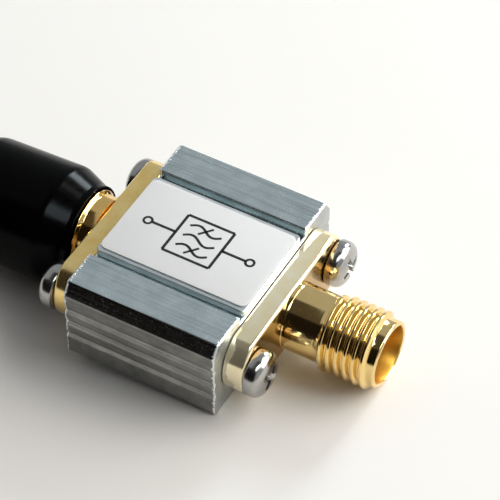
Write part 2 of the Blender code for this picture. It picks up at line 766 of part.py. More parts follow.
def coil_mesh():
    """Air-wound coil: a round wire along a helix about Y, its two tails turned down to the board."""
    length = COIL_TURNS * COIL_PITCH
    foot = COIL_TAIL_LIFT - COIL_RADIUS - COIL_WIRE_RADIUS
    path = [Vector((COIL_RADIUS, -length / 2, foot))]
    for step in range(COIL_TURNS * COIL_STEPS + COIL_STEPS // 2 + 1):
        angle = math.tau * step / COIL_STEPS
        y = -length / 2 + COIL_PITCH * step / COIL_STEPS
        path.append(Vector((COIL_RADIUS * math.cos(angle), y, COIL_RADIUS * math.sin(angle))))
    last = path[-1]
    path.append(Vector((last.x, last.y, foot)))
    work = bmesh.new()
    rings = []
    for index, point in enumerate(path):
        before = path[max(index - 1, 0)]
        beyond = path[min(index + 1, len(path) - 1)]
        tangent = (beyond - before).normalized()
        side = tangent.cross(Vector((0.0, 1.0, 0.0))).normalized()
        up = side.cross(tangent).normalized()
        ring = []
        for step in range(COIL_SIDES):
            angle = math.tau * step / COIL_SIDES
            offset = side * math.cos(angle) + up * math.sin(angle)
            ring.append(work.verts.new(point + COIL_WIRE_RADIUS * offset))
        rings.append(ring)
    for first, second in zip(rings, rings[1:]):
        bridge(work, first, second, COIL_SIDES)
    work.faces.new(rings[0])
    work.faces.new(rings[-1][::-1])
    return smooth(mesh_from("coil", work), 60.0)


def build_coils():
    mesh = coil_mesh()
    lift = COIL_RADIUS + COIL_WIRE_RADIUS + PAD_HEIGHT
    for index in range(COIL_COUNT):
        piece = add_object(f"coil_{index + 1}", mesh, enamelled_copper())
        x = (index - (COIL_COUNT - 1) / 2) * COIL_SPACING
        piece.location = (x, COIL_OFFSET_Y, BOARD_TOP_Z + lift)


def build_chips():
    size_x, size_y, size_z = CHIP_SIZE
    outline = rounded_rectangle(size_x / 2, size_y / 2, CHIP_EDGE, 1)
    mesh = prism("chip_capacitor", outline, 0.0, size_z, along_z)
    for index in range(CHIP_COUNT):
        piece = add_object(f"chip_capacitor_{index + 1}", mesh, chip_ceramic())
        x = (index - (CHIP_COUNT - 1) / 2) * CHIP_SPACING
        piece.location = (x, CHIP_OFFSET_Y, BOARD_TOP_Z + SEAT)


def build_solder_joints():
    """Fillet of solder under and beside each contact's pin, on the board's input and output pads."""
    top = AXIS_Z - PIN_RADIUS - CLEAR
    low = BOARD_TOP_Z + SEAT
    half = [(SOLDER_HALF_WIDTH * wide, low + (top - low) * high) for wide, high in SOLDER_FORM]
    outline = half + [(-y, z) for y, z in reversed(half)]
    outer = POCKET_END_X - SOLDER_END_GAP
    for tag, end in ENDS:
        name = f"{tag}_solder_joint"
        low_x, high_x = sorted((end * outer, end * (outer - SOLDER_LENGTH)))
        add_object(name, prism(name, outline, low_x, high_x, along_x), solder())


def connector_axis(tag, end):
    """Empty on the connector's axis; its own +X points out of the housing's end."""
    axis = bpy.data.objects.new(f"{tag}_axis", None)
    bpy.context.collection.objects.link(axis)
    axis.location = (0.0, 0.0, AXIS_Z)
    axis.rotation_euler = (0.0, 0.0, heading(end))
    return axis


def main():
    clear_scene()
    build_housing()
    build_cover()
    build_label()
    axes = {}
    for tag, end in ENDS:
        axis = connector_axis(tag, end)
        axes[tag] = axis
        contact, slots = build_contact(tag)
        for piece in [contact, build_insulator(tag)] + slots:
            piece.parent = axis
    build_connectors(axes)
    build_screws(axes)
    build_cap(axes["capped"])
    build_board()
    build_coils()
    build_chips()
    build_solder_joints()


main()
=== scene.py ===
import math

import bmesh
import bpy
from mathutils import Matrix, Vector, noise


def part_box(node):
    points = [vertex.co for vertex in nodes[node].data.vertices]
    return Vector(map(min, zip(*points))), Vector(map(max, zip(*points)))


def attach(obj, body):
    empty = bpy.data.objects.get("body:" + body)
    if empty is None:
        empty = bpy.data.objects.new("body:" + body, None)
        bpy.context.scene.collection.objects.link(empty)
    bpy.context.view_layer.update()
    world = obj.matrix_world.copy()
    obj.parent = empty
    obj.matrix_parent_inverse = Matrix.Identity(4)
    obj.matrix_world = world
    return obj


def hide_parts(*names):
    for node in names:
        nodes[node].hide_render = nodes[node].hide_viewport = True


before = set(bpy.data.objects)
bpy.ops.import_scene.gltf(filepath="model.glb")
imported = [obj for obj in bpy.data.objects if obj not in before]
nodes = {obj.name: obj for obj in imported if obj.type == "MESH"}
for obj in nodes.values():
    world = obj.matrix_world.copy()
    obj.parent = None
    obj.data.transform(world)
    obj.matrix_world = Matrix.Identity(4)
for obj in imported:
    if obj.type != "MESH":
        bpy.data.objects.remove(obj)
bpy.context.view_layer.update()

MM = 0.001


def box_mm(node):
    low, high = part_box(node)
    return Vector(low) / MM, Vector(high) / MM


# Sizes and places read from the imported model, in millimetres
CASE_END, CASE_HALF_W, CASE_H = box_mm("housing")[1]
BODY_LOW, BODY_HIGH = box_mm("open_connector_body")
FLANGE_BACK, FLANGE_HALF_L = BODY_LOW.x, BODY_HIGH.y
MOUTH = BODY_HIGH.x
AXIS_Z = (BODY_LOW.z + BODY_HIGH.z) / 2
THREAD_R = (BODY_HIGH.z - BODY_LOW.z) / 2
SCREW_LOW, SCREW_HIGH = box_mm("open_far_screw")
SCREW_Y = (SCREW_LOW.y + SCREW_HIGH.y) / 2
HEAD_R = (SCREW_HIGH.y - SCREW_LOW.y) / 2
LABEL_HALF_L, LABEL_HALF_W, LABEL_TOP = box_mm("label")[1]
LABEL_BOTTOM = box_mm("label")[0].z

# Housing profile
SHOULDER = 0.70
CHAMFER_DROP = 1.09
RAIL_INNER = 5.13
CHANNEL_DEPTH = 0.80
RAIL_LIP = 0.08
FOOT = 0.25
GROOVES = 3
GROOVE_TOP = CASE_H - 2.34
GROOVE_PITCH = 1.345
GROOVE_OPENING = 0.66
GROOVE_DEPTH = 0.19
GROOVE_FLOOR_SHARE = 0.36
EDGE_SOFTNESS = 0.09
HOUSING_SHARP = 28.0

# Burr on the sawn ends. Loops: how far from the end, how far in, and how uneven
BURR_SPACING = 0.11
BURR_LOOPS = ((0.0, 0.06, 0.05), (0.03, 0.02, 0.07), (0.09, 0.0, 0.05), (0.20, 0.0, 0.0))
BURR_WAVES = 4.5
BURR_FINE_WAVES = 13.0
BURR_FINE_SHARE = 0.6
BURR_BIAS = 0.35
BURR_SLIDE = 0.8
BURR_SEEDS = (2.0, 7.0)
END_INSET = 0.07

# Flange and barrel
FLANGE_T = 1.76
FLANGE_FRONT = FLANGE_BACK + FLANGE_T
FLANGE_HALF_H = 2.78
FLANGE_END_R = 3.04
FLANGE_ROUND = 0.25
FLANGE_BACK_ROUND = 0.08
FLANGE_HOLD = 0.03
FLANGE_END_STEPS = 22
SCREW_HOLE_R = 1.15
SCREW_HOLE_STEPS = 32
ROOT_RING_R = 2.76
ROOT_RING_L = 0.28
ROOT_SLOPE = 0.07
# Collar of the capped socket: place from the flange, and radius
COLLAR = ((0.0, 3.00), (1.06, 3.00), (1.28, 3.28), (1.85, 3.28))
NECK_R = 2.72
NECK_L = 3.02
NECK_HOLD = 0.30
NECK_GAP = 0.05
NECK_ROUND = 0.04
THREAD_PITCH = 0.7056
THREAD_TURNS = 6
THREAD_RUNOUT = 0.20
LEAD_L = MOUTH - FLANGE_FRONT - NECK_L - (THREAD_TURNS + 1) * THREAD_PITCH
LEAD_GAP = 0.03
RIM_R = 2.60
RIM_SLOPE = 0.12
RIM_ROUND = 0.035
MOUTH_R = 2.44
MOUTH_EDGE = 0.06
MOUTH_SLOPE = 0.20
BORE_R = 2.30
BORE_DEPTH = 1.95
CORE_R = 2.10
AROUND = 96
CONNECTOR_SHARP = 34.0

# One pitch of the thread: share of the pitch, share of the thread's height
THREAD_FORM = (
    (0.00, 0.00), (0.05, 0.04), (0.11, 0.22), (0.31, 0.84), (0.37, 0.96),
    (0.50, 1.00), (0.63, 0.96), (0.69, 0.84), (0.89, 0.22), (0.95, 0.04),
)

# Screws
SCREW_SEAT = FLANGE_FRONT + 0.06
SHANK_R = 0.98
SHANK_L = 3.60
SHANK_TIP_R = 0.80
SHANK_TIP_L = 0.20
HEAD_H = SCREW_HIGH.x - SCREW_SEAT
HEAD_WALL = 0.62
# Under the head's edge: how far out from the seat, and how far in from the rim
HEAD_EDGE = ((0.0, 0.10), (0.05, 0.03), (0.13, 0.0))
CROWN_POWER = 0.62
CROWN_STEPS = 16
SCREW_AROUND = 64
SCREW_SOFTNESS = 0.03
SCREW_SHARP = 40.0
RECESS_ARM = 1.12
RECESS_HALF = 0.26
RECESS_DEPTH = 0.92
RECESS_OVERRUN = 0.20
RECESS_CORNER = 1.12
# Share of the arm's length and width above the head and at the recess's floor
RECESS_ABOVE = (1.15, 1.0)
RECESS_FLOOR = (0.36, 0.55)
# Where each screw stopped, in degrees
SCREW_SPINS = {"open_near": 52, "open_far": 16, "capped_near": 35, "capped_far": 75}

# Dust cap, from its mouth, and how it hangs on the capped socket
CAP_BORE = 3.894
CAP_LIP = 4.044
CAP_R = 4.899
CAP_LIP_L = 0.45
CAP_CONE_L = 2.30
CAP_SHOULDER_L = 0.30
CAP_END_R = 2.40
CAP_END_STEPS = 16
CAP_END_FLAT_R = 1.2
CAP_BORE_L = 9.599
CAP_BORE_ROUND = 0.4
CAP_L = 11.599
CAP_ROUND = 0.14
CAP_AROUND = 128
# Cap's lip: place from the mouth, and radius
CAP_LIP_FORM = (
    (0.30, CAP_BORE), (0.06, CAP_BORE), (0.0, CAP_BORE + 0.05), (0.0, CAP_LIP - 0.04),
    (0.05, CAP_LIP), (CAP_LIP_L, CAP_LIP + 0.02), (CAP_CONE_L, CAP_R - 0.05),
    (CAP_CONE_L + CAP_SHOULDER_L, CAP_R), (CAP_CONE_L + CAP_SHOULDER_L + 0.5, CAP_R),
)
CAP_PLACE = Vector((FLANGE_FRONT + 1.30, 0.33, -0.38))
CAP_YAW = math.radians(1.5)
CAP_DROOP = math.radians(1.2)

# Label film and the symbol printed on it
LABEL_CORNER = 0.55
LABEL_CORNER_STEPS = 8
# Film's edge: height under its top, and how far in
FILM_EDGE = ((0.02, 0.0), (0.006, 0.012), (0.0, 0.035))
INK_TOP = LABEL_TOP + 0.010
INK_BOTTOM = LABEL_TOP + 0.001
INK_LINE = 0.24
THIN_LINE = 0.85 * INK_LINE
WAVE_LINE = 0.9 * INK_LINE
SYMBOL_HALF = 2.05
WAVE_SPACING = 1.12
WAVE_HALF = 1.4
WAVE_HEIGHT = 0.32
WAVE_STEPS = 28
STRIKE = (0.42, 0.50)
LEAD_REACH = 4.2
DOT_PLACE = 4.52
DOT_R = 0.34
DOT_STEPS = 24
FINE_SHARP = 30.0

# Floor, lamps and camera, in metres
FLOOR_SLOPE = 0.0811
FLOOR_DROP = 0.02 * MM
FLOOR_SIZE = 1.2
FLOOR_CELLS = 24
LAMP_DISTANCE = 0.60
CAMERA_PLACE = (0.06775, -0.1111, 0.1485)
CAMERA_TOWARDS = (-0.334, 0.587, -0.737)
CAMERA_LENS = 180.26
CAMERA_SENSOR = 36.0

# Colours of the surroundings
PALE_ROOM = (0.42, 0.44, 0.455)
DIM_ROOM = (0.070, 0.062, 0.055)
DARK_ROOM = (0.010, 0.008, 0.007)
HORIZON = (0.52, 0.51, 0.49)
RIGHT_WALL = (0.42, 0.42, 0.42)

# Grain scales of turned and of brushed gold
TURNED = (9000, 160, 160)
BRUSHED = (2600, 300, 2600)


# Materials
class Shader:
    """Small helper for building node materials."""

    def __init__(self, name):
        self.mat = bpy.data.materials.new(name)
        self.mat.use_nodes = True
        self.tree = self.mat.node_tree
        self.bsdf = self.tree.nodes["Principled BSDF"]
        self.coord = self.tree.nodes.new("ShaderNodeTexCoord").outputs["Object"]

    def node(self, kind, **values):
        node = self.tree.nodes.new(kind)
        for key, value in values.items():
            setattr(node, key, value)
        return node

    def link(self, a, b):
        self.tree.links.new(a, b)

    def mapped(self, scale, rotation=(0, 0, 0)):
        node = self.node("ShaderNodeMapping")
        node.inputs["Scale"].default_value = scale
        node.inputs["Rotation"].default_value = rotation
        self.link(self.coord, node.inputs["Vector"])
        return node.outputs["Vector"]

    def noise(self, scale, detail=3.0, rough=0.5, vector=None, distortion=0.0):
        node = self.node("ShaderNodeTexNoise")
        node.inputs["Scale"].default_value = scale
        node.inputs["Detail"].default_value = detail
        node.inputs["Roughness"].default_value = rough
        node.inputs["Distortion"].default_value = distortion
        self.link(vector or self.coord, node.inputs["Vector"])
        return node.outputs["Fac"]

    def ramp(self, source, low, high, a=0.0, b=1.0):
        node = self.node("ShaderNodeMapRange")
        node.inputs["From Min"].default_value = low
        node.inputs["From Max"].default_value = high
        node.inputs["To Min"].default_value = a
        node.inputs["To Max"].default_value = b
        self.link(source, node.inputs["Value"])
        return node.outputs["Result"]

    def maths(self, op, a, b=None):
        node = self.node("ShaderNodeMath", operation=op)
        for index, value in enumerate((a, b)):
            if value is None:
                continue
            if isinstance(value, (int, float)):
                node.inputs[index].default_value = value
            else:
                self.link(value, node.inputs[index])
        return node.outputs[0]

    def axis(self, name):
        node = self.node("ShaderNodeSeparateXYZ")
        self.link(self.coord, node.inputs[0])
        return node.outputs[name]

    def mix(self, factor, a, b):
        node = self.node("ShaderNodeMix", data_type="RGBA")
        self.link(factor, node.inputs["Factor"])
        for key, value in (("A", a), ("B", b)):
            socket = [s for s in node.inputs if s.name == key and s.type == "RGBA"][0]
            if isinstance(value, tuple):
                socket.default_value = (*value, 1.0)
            else:
                self.link(value, socket)
        return [s for s in node.outputs if s.type == "RGBA"][0]

    def set(self, name, value):
        socket = self.bsdf.inputs[name]
        if isinstance(value, tuple):
            socket.default_value = (*value, 1.0)
        elif isinstance(value, (int, float)):
            socket.default_value = value
        else:
            self.link(value, socket)

    def bump(self, height, distance, strength=1.0):
        node = self.node("ShaderNodeBump")
        node.inputs["Distance"].default_value = distance
        node.inputs["Strength"].default_value = strength
        self.link(height, node.inputs["Height"])
        self.link(node.outputs["Normal"], self.bsdf.inputs["Normal"])


def extruded_aluminium():
    """Drawn streaks along the length, cloudy patches, specks with painted glints, sides painted darker
    as painted shade, and a torn edge at both ends painted bright as a painted highlight on the burr."""
    s = Shader("aluminium_extruded")
    lines = s.noise(1.0, 4.0, 0.65, s.mapped((130, 5200, 5200)))
    wide = s.noise(1.0, 3.0, 0.5, s.mapped((70, 1300, 1300)))
    cloud = s.noise(620.0, 5.0, 0.65)
    specks = s.noise(6500.0, 2.0, 0.7)
    pits = s.ramp(specks, 0.64, 0.72)
    glints = s.ramp(specks, 0.33, 0.27)
    base = s.mix(s.ramp(cloud, 0.30, 0.70), (0.56, 0.65, 0.66), (0.74, 0.83, 0.84))
    base = s.mix(s.ramp(lines, 0.45, 0.72, 0.0, 0.65), base, (0.36, 0.42, 0.43))
    base = s.mix(s.ramp(wide, 0.56, 0.70, 0.0, 0.35), base, (0.80, 0.86, 0.86))
    base = s.mix(glints, base, (0.92, 0.94, 0.94))
    # Painted shade: the sides, from the chamfer down, are painted a dark warm tone for the shadowed
    # floor they reflect.
    from_middle = s.maths("ABSOLUTE", s.axis("Y"))
    flank = s.ramp(from_middle, (CASE_HALF_W - SHOULDER) * MM, (CASE_HALF_W - 0.6) * MM)
    side_shade = s.mix(s.ramp(cloud, 0.35, 0.65), (0.14, 0.128, 0.115), (0.22, 0.20, 0.18))
    base = s.mix(s.maths("MULTIPLY", flank, 0.85), base, side_shade)
    # Painted highlight: the torn band along both sawn ends gets a bright colour; its roughness and
    # bump are the burr's own.
    from_end = s.maths("SUBTRACT", CASE_END * MM, s.maths("ABSOLUTE", s.axis("X")))
    torn = s.noise(3600.0, 4.0, 0.7)
    reach = s.ramp(torn, 0.30, 0.70, 0.02 * MM, 0.34 * MM)
    burr = s.ramp(s.maths("SUBTRACT", reach, from_end), 0.0, 0.06 * MM)
    s.set("Base Color", s.mix(burr, base, (0.90, 0.91, 0.90)))
    s.set("Metallic", 1.0)
    rough = s.ramp(wide, 0.25, 0.75, 0.13, 0.22)
    rough = s.maths("ADD", rough, s.maths("MULTIPLY", pits, 0.25))
    s.set("Roughness", s.maths("ADD", rough, s.maths("MULTIPLY", burr, 0.22)))
    height = s.maths("ADD", s.maths("MULTIPLY", lines, 0.8), s.maths("MULTIPLY", wide, 0.7))
    height = s.maths("SUBTRACT", height, s.maths("MULTIPLY", pits, 0.8))
    height = s.maths("ADD", height, s.maths("MULTIPLY", s.maths("MULTIPLY", torn, burr), 6.0))
    s.bump(height, 0.004 * MM, 0.7)
    return s.mat


def sawn_aluminium():
    """Sawn end: brighter, with close parallel saw lines across the face."""
    s = Shader("aluminium_sawn")
    lines = s.noise(1.0, 3.0, 0.6, s.mapped((9000, 900, 9000), (0.35, 0, 0)))
    cloud = s.noise(700.0, 3.0, 0.6)
    s.set("Base Color", s.mix(s.ramp(cloud, 0.3, 0.7), (0.42, 0.43, 0.43), (0.54, 0.55, 0.55)))
    s.set("Metallic", 1.0)
    s.set("Roughness", s.ramp(lines, 0.3, 0.7, 0.34, 0.56))
    s.bump(lines, 0.012 * MM, 0.9)
    return s.mat


def plate_aluminium():
    """Rolled plate with grain along its length."""
    s = Shader("aluminium_plate")
    grain = s.noise(1.0, 3.0, 0.5, s.mapped((500, 5000, 5000)))
    s.set("Base Color", s.mix(s.ramp(grain, 0.3, 0.7), (0.62, 0.66, 0.67), (0.78, 0.80, 0.80)))
    s.set("Metallic", 1.0)
    s.set("Roughness", s.ramp(grain, 0.3, 0.7, 0.28, 0.42))
    s.bump(grain, 0.004 * MM, 0.7)
    return s.mat


def gold(name, dark, light, rough, grain, metallic=1.0):
    """Gold plate: a faint blush in its colour, small nicks, and grain along the given scales.
    Below full metallic, a share of the colour shows as diffuse: painted sheen, used to lighten the
    flange tops."""
    s = Shader(name)
    blush = s.noise(520.0, 4.0, 0.6, None, 0.4)
    rings = s.noise(1.0, 3.0, 0.6, s.mapped(grain))
    nicks = s.ramp(s.noise(5200.0, 2.0, 0.6), 0.68, 0.76)
    s.set("Base Color", s.mix(s.ramp(blush, 0.3, 0.7), dark, light))
    s.set("Metallic", metallic)
    polish = s.ramp(rings, 0.3, 0.7, *rough)
    s.set("Roughness", s.maths("ADD", polish, s.maths("MULTIPLY", nicks, 0.15)))
    height = s.maths("ADD", rings, s.maths("MULTIPLY", blush, 0.6))
    s.bump(s.maths("SUBTRACT", height, nicks), 0.0022 * MM, 0.6)
    return s.mat


def nickel():
    """Nickel-plated screw: slow waviness, fine grain and a duller tone in the wear."""
    s = Shader("nickel_screw")
    wear = s.noise(900.0, 4.0, 0.6)
    fine = s.noise(6500.0, 2.0, 0.6)
    s.set("Base Color", s.mix(s.ramp(wear, 0.3, 0.7), (0.35, 0.34, 0.33), (0.50, 0.49, 0.47)))
    s.set("Metallic", 1.0)
    s.set("Roughness", s.ramp(wear, 0.25, 0.75, 0.12, 0.24))
    s.bump(s.maths("ADD", wear, s.maths("MULTIPLY", fine, 0.3)), 0.008 * MM, 0.7)
    return s.mat


def label_stock():
    """Off-white film with a very faint fibre and slight ageing."""
    s = Shader("label_stock")
    cloud = s.noise(260.0, 4.0, 0.6)
    fibre = s.noise(7000.0, 3.0, 0.6)
    aged = s.ramp(cloud, 0.3, 0.7)
    s.set("Base Color", s.mix(aged, (0.690, 0.690, 0.685), (0.715, 0.715, 0.708)))
    s.set("Roughness", s.ramp(fibre, 0.3, 0.7, 0.46, 0.60))
    s.set("Specular IOR Level", 0.25)
    s.bump(s.maths("ADD", fibre, cloud), 0.003 * MM, 0.5)
    return s.mat


def ink():
    """Printed ink, slightly patchy where it lies thin."""
    s = Shader("label_ink")
    patchy = s.noise(3800.0, 3.0, 0.6)
    thin = s.ramp(patchy, 0.35, 0.7)
    s.set("Base Color", s.mix(thin, (0.010, 0.010, 0.012), (0.030, 0.031, 0.034)))
    s.set("Roughness", s.ramp(patchy, 0.3, 0.7, 0.40, 0.52))
    s.set("Specular IOR Level", 0.25)
    s.bump(patchy, 0.001 * MM, 0.4)
    return s.mat


def black_gloss():
    """Moulded black: slow surface waviness that breaks up reflections, and fine scuffs."""
    s = Shader("cap_black_gloss")
    wave = s.noise(170.0, 2.0, 0.5)
    scuff = s.noise(1.0, 3.0, 0.6, s.mapped((1500, 5200, 5200)))
    tone = s.ramp(wave, 0.3, 0.7)
    s.set("Base Color", s.mix(tone, (0.0005, 0.0005, 0.0006), (0.0011, 0.0011, 0.0012)))
    s.set("Roughness", s.ramp(scuff, 0.35, 0.75, 0.15, 0.25))
    s.set("Specular IOR Level", 0.05)
    s.bump(s.maths("ADD", wave, s.maths("MULTIPLY", scuff, 0.02)), 0.05 * MM, 0.45)
    return s.mat


def insulator_white():
    """Waxy white fluoropolymer with faint turning rings."""
    s = Shader("insulator_waxy")
    cloud = s.noise(900.0, 3.0, 0.6)
    rings = s.noise(5200.0, 3.0, 0.6)
    s.set("Base Color", s.mix(s.ramp(cloud, 0.3, 0.7), (0.80, 0.79, 0.74), (0.90, 0.89, 0.86)))
    s.set("Roughness", s.ramp(rings, 0.3, 0.7, 0.36, 0.5))
    s.set("Subsurface Weight", 0.15)
    s.bsdf.inputs["Subsurface Radius"].default_value = (0.0006, 0.0005, 0.0004)
    s.set("Subsurface Scale", 1.0)
    s.bump(rings, 0.003 * MM, 0.5)
    return s.mat


def board_green():
    """Solder mask over woven glass."""
    s = Shader("board_mask")
    weave = s.node("ShaderNodeTexChecker")
    weave.inputs["Scale"].default_value = 3200.0
    s.link(s.coord, weave.inputs["Vector"])
    cloud = s.noise(700.0, 3.0, 0.6)
    s.set("Base Color", s.mix(s.ramp(cloud, 0.3, 0.7), (0.012, 0.10, 0.045), (0.02, 0.15, 0.07)))
    s.set("Roughness", s.ramp(cloud, 0.3, 0.7, 0.28, 0.42))
    s.bump(weave.outputs["Fac"], 0.004 * MM, 0.4)
    return s.mat


def copper_wire():
    """Enamelled copper with uneven tone."""
    s = Shader("coil_enamel")
    tone = s.noise(1600.0, 3.0, 0.6)
    s.set("Base Color", s.mix(s.ramp(tone, 0.3, 0.7), (0.62, 0.22, 0.08), (0.80, 0.36, 0.16)))
    s.set("Metallic", 1.0)
    s.set("Roughness", s.ramp(tone, 0.3, 0.7, 0.2, 0.34))
    s.set("Coat Weight", 0.6)
    s.bump(tone, 0.004 * MM, 0.5)
    return s.mat


def chip_body():
    """Fired ceramic with a fine grain."""
    s = Shader("chip_ceramic_body")
    grain = s.noise(5200.0, 3.0, 0.6)
    s.set("Base Color", s.mix(s.ramp(grain, 0.3, 0.7), (0.34, 0.24, 0.15), (0.46, 0.34, 0.22)))
    s.set("Roughness", s.ramp(grain, 0.3, 0.7, 0.4, 0.55))
    s.bump(grain, 0.004 * MM, 0.5)
    return s.mat


def solder_bright():
    """Bright solder with a frosted grain."""
    s = Shader("solder_bright")
    grain = s.noise(2600.0, 4.0, 0.6)
    s.set("Base Color", s.mix(s.ramp(grain, 0.3, 0.7), (0.58, 0.59, 0.60), (0.76, 0.77, 0.78)))
    s.set("Metallic", 1.0)
    s.set("Roughness", s.ramp(grain, 0.3, 0.7, 0.16, 0.36))
    s.bump(grain, 0.02 * MM, 0.6)
    return s.mat


def floor_white():
    """Plain pale paper."""
    s = Shader("floor_plain")
    s.set("Base Color", (0.93, 0.905, 0.870))
    s.set("Roughness", 0.65)
    s.set("Specular IOR Level", 0.2)
    return s.mat


# Mesh helpers
def finish_mesh(name, work, mats, angle=32.0):
    bmesh.ops.recalc_face_normals(work, faces=work.faces)
    mesh = bpy.data.meshes.new(name)
    work.to_mesh(mesh)
    work.free()
    for mat in mats:
        mesh.materials.append(mat)
    mesh.shade_smooth()
    mesh.set_sharp_from_angle(angle=math.radians(angle))
    piece = bpy.data.objects.new(name, mesh)
    bpy.context.scene.collection.objects.link(piece)
    return piece


def ring(work, x, radius, count, y=0.0):
    out = []
    for i in range(count):
        a = math.tau * i / count
        place = (x * MM, (y + radius * math.cos(a)) * MM, radius * math.sin(a) * MM)
        out.append(work.verts.new(place))
    return out


def loop_at(work, x, outline):
    """Closed loop of (y, z) points at one place along X."""
    return [work.verts.new((x * MM, y * MM, z * MM)) for y, z in outline]


def skin(work, first, second, index=0):
    count = len(first)
    for i in range(count):
        j = (i + 1) % count
        work.faces.new((first[i], first[j], second[j], second[i])).material_index = index


def turn(work, outline, count, index=0):
    """Rings along X for (x, radius) points; a radius of 0 ends in a point."""
    rings = []
    for x, radius in outline:
        if radius < 1e-6:
            rings.append([work.verts.new((x * MM, 0.0, 0.0))])
        else:
            rings.append(ring(work, x, radius, count))
    for a, b in zip(rings, rings[1:]):
        if len(a) > 1 and len(b) > 1:
            skin(work, a, b, index)
            continue
        point, loop = (a, b) if len(a) == 1 else (b, a)
        for i in range(count):
            work.faces.new((point[0], loop[i], loop[(i + 1) % count])).material_index = index
    return rings


def fillet(points, radius, steps=4):
    """Rounds every corner of an open outline with arcs of at most the radius."""
    out = [points[0]]
    for before, here, after in zip(points, points[1:], points[2:]):
        here = Vector(here)
        a = Vector(before) - here
        b = Vector(after) - here
        reach = min(radius, a.length * 0.45, b.length * 0.45)
        start = here + a.normalized() * reach
        end = here + b.normalized() * reach
        for step in range(steps + 1):
            t = step / steps
            point = start.lerp(here, t).lerp(here.lerp(end, t), t)
            out.append((point.x, point.y))
    out.append(points[-1])
    return out


def resample(points, spacing):
    """Closed outline with its points no farther apart than the spacing."""
    out = []
    for a, b in zip(points, points[1:] + points[:1]):
        a, b = Vector(a), Vector(b)
        steps = max(1, math.ceil((b - a).length / spacing))
        for step in range(steps):
            point = a.lerp(b, step / steps)
            out.append((point.x, point.y))
    return out


def inset(points, amount):
    """Closed anticlockwise outline moved inwards."""
    out = []
    count = len(points)
    for i, p in enumerate(points):
        a, b = Vector(points[i - 1]), Vector(points[(i + 1) % count])
        n1 = Vector((p[1] - a.y, a.x - p[0])).normalized()
        n2 = Vector((b.y - p[1], p[0] - b.x)).normalized()
        n = (n1 + n2).normalized()
        scale = 1.0 / max(0.6, n.dot(n1))
        out.append((p[0] - n.x * amount * scale, p[1] - n.y * amount * scale))
    return out


def seat_on(piece, *replaced, slot):
    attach(piece, "root")
    if replaced:
        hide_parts(*replaced)
    return piece


def on_axis(piece, end):
    """Turns a piece built along +X to point out of one end of the housing."""
    turned = Matrix.Rotation(0.0 if end > 0 else math.pi, 4, "Z")
    piece.data.transform(Matrix.Translation((0, 0, AXIS_Z * MM)) @ turned)
    return piece


# Housing
def housing_profile():
    """Anticlockwise outline of the extrusion in (y, z), with its long edges softened."""
    side = [
        (RAIL_INNER, CASE_H - CHANNEL_DEPTH),
        (RAIL_INNER, CASE_H - RAIL_LIP),
        (RAIL_INNER + RAIL_LIP, CASE_H),
        (CASE_HALF_W - SHOULDER, CASE_H),
        (CASE_HALF_W, CASE_H - CHAMFER_DROP),
    ]
    for index in range(GROOVES):
        top = GROOVE_TOP - GROOVE_PITCH * index
        side.append((CASE_HALF_W, top))
        side.append((CASE_HALF_W - GROOVE_DEPTH, top - GROOVE_OPENING * GROOVE_FLOOR_SHARE))
        side.append((CASE_HALF_W, top - GROOVE_OPENING))
    side += [(CASE_HALF_W, FOOT), (CASE_HALF_W - FOOT, 0.0)]
    side = fillet(side, EDGE_SOFTNESS, 3)
    return [(-y, z) for y, z in side] + side[::-1]


def torn_loop(work, x, outline, shrink, rough, seed):
    """Loop near a sawn edge, pushed about unevenly in and along the surface."""
    out = []
    for y, z in inset(outline, shrink):
        place = Vector((y * BURR_WAVES, z * BURR_WAVES, seed))
        fine = Vector((y * BURR_FINE_WAVES, z * BURR_FINE_WAVES, seed + 5.0))
        push = rough * (noise.noise(place) + BURR_FINE_SHARE * noise.noise(fine) - BURR_BIAS)
        slide = rough * noise.noise(place + Vector((9.0, 3.0, 1.0)))
        centre = Vector((y, z)) - Vector((0.0, CASE_H / 2))
        centre.normalize()
        inward = -BURR_SLIDE * abs(slide) * (1 if x > 0 else -1)
        place = ((x + inward) * MM, (y + centre.x * push) * MM, (z + centre.y * push) * MM)
        out.append(work.verts.new(place))
    return out


def build_housing(side_mat, end_mat):
    """Extrusion with softened long edges and an uneven burr round both sawn ends."""
    outline = resample(housing_profile(), BURR_SPACING)
    work = bmesh.new()
    left, right = BURR_SEEDS
    loops = [torn_loop(work, -CASE_END + d, outline, s, r, left) for d, s, r in BURR_LOOPS]
    loops += [torn_loop(work, CASE_END - d, outline, s, r, right) for d, s, r in BURR_LOOPS[::-1]]
    for a, b in zip(loops, loops[1:]):
        skin(work, a, b)
    for loop, x in ((loops[0], -CASE_END), (loops[-1], CASE_END)):
        flat = loop_at(work, x, inset(outline, END_INSET))
        skin(work, loop, flat, 1)
        work.faces.new(flat).material_index = 1
    piece = finish_mesh("housing_detailed", work, [side_mat, end_mat], HOUSING_SHARP)
    return seat_on(piece, "housing", slot="housing_aluminium")


# Connectors
def flange_outline():
    """Outline in (y, z): flat top and bottom, and ends struck from a radius."""
    centre = FLANGE_HALF_L - FLANGE_END_R
    reach = math.asin(FLANGE_HALF_H / FLANGE_END_R)
    points = []
    for side in (1, -1):
        for step in range(FLANGE_END_STEPS + 1):
            angle = -reach + 2.0 * reach * step / FLANGE_END_STEPS
            y = centre + FLANGE_END_R * math.cos(angle)
            points.append((side * y, side * FLANGE_END_R * math.sin(angle)))
    return points


def rounded_edge(work, outline, x, direction, radius, steps):
    """Loops of a quarter-round edge that ends flat at x, from the side inwards."""
    loops = [loop_at(work, x - direction * (radius + FLANGE_HOLD), outline)]
    for step in range(steps + 1):
        a = 0.5 * math.pi * step / steps
        place = x - direction * radius * (1.0 - math.sin(a))
        loops.append(loop_at(work, place, inset(outline, radius * (1.0 - math.cos(a)))))
    return loops


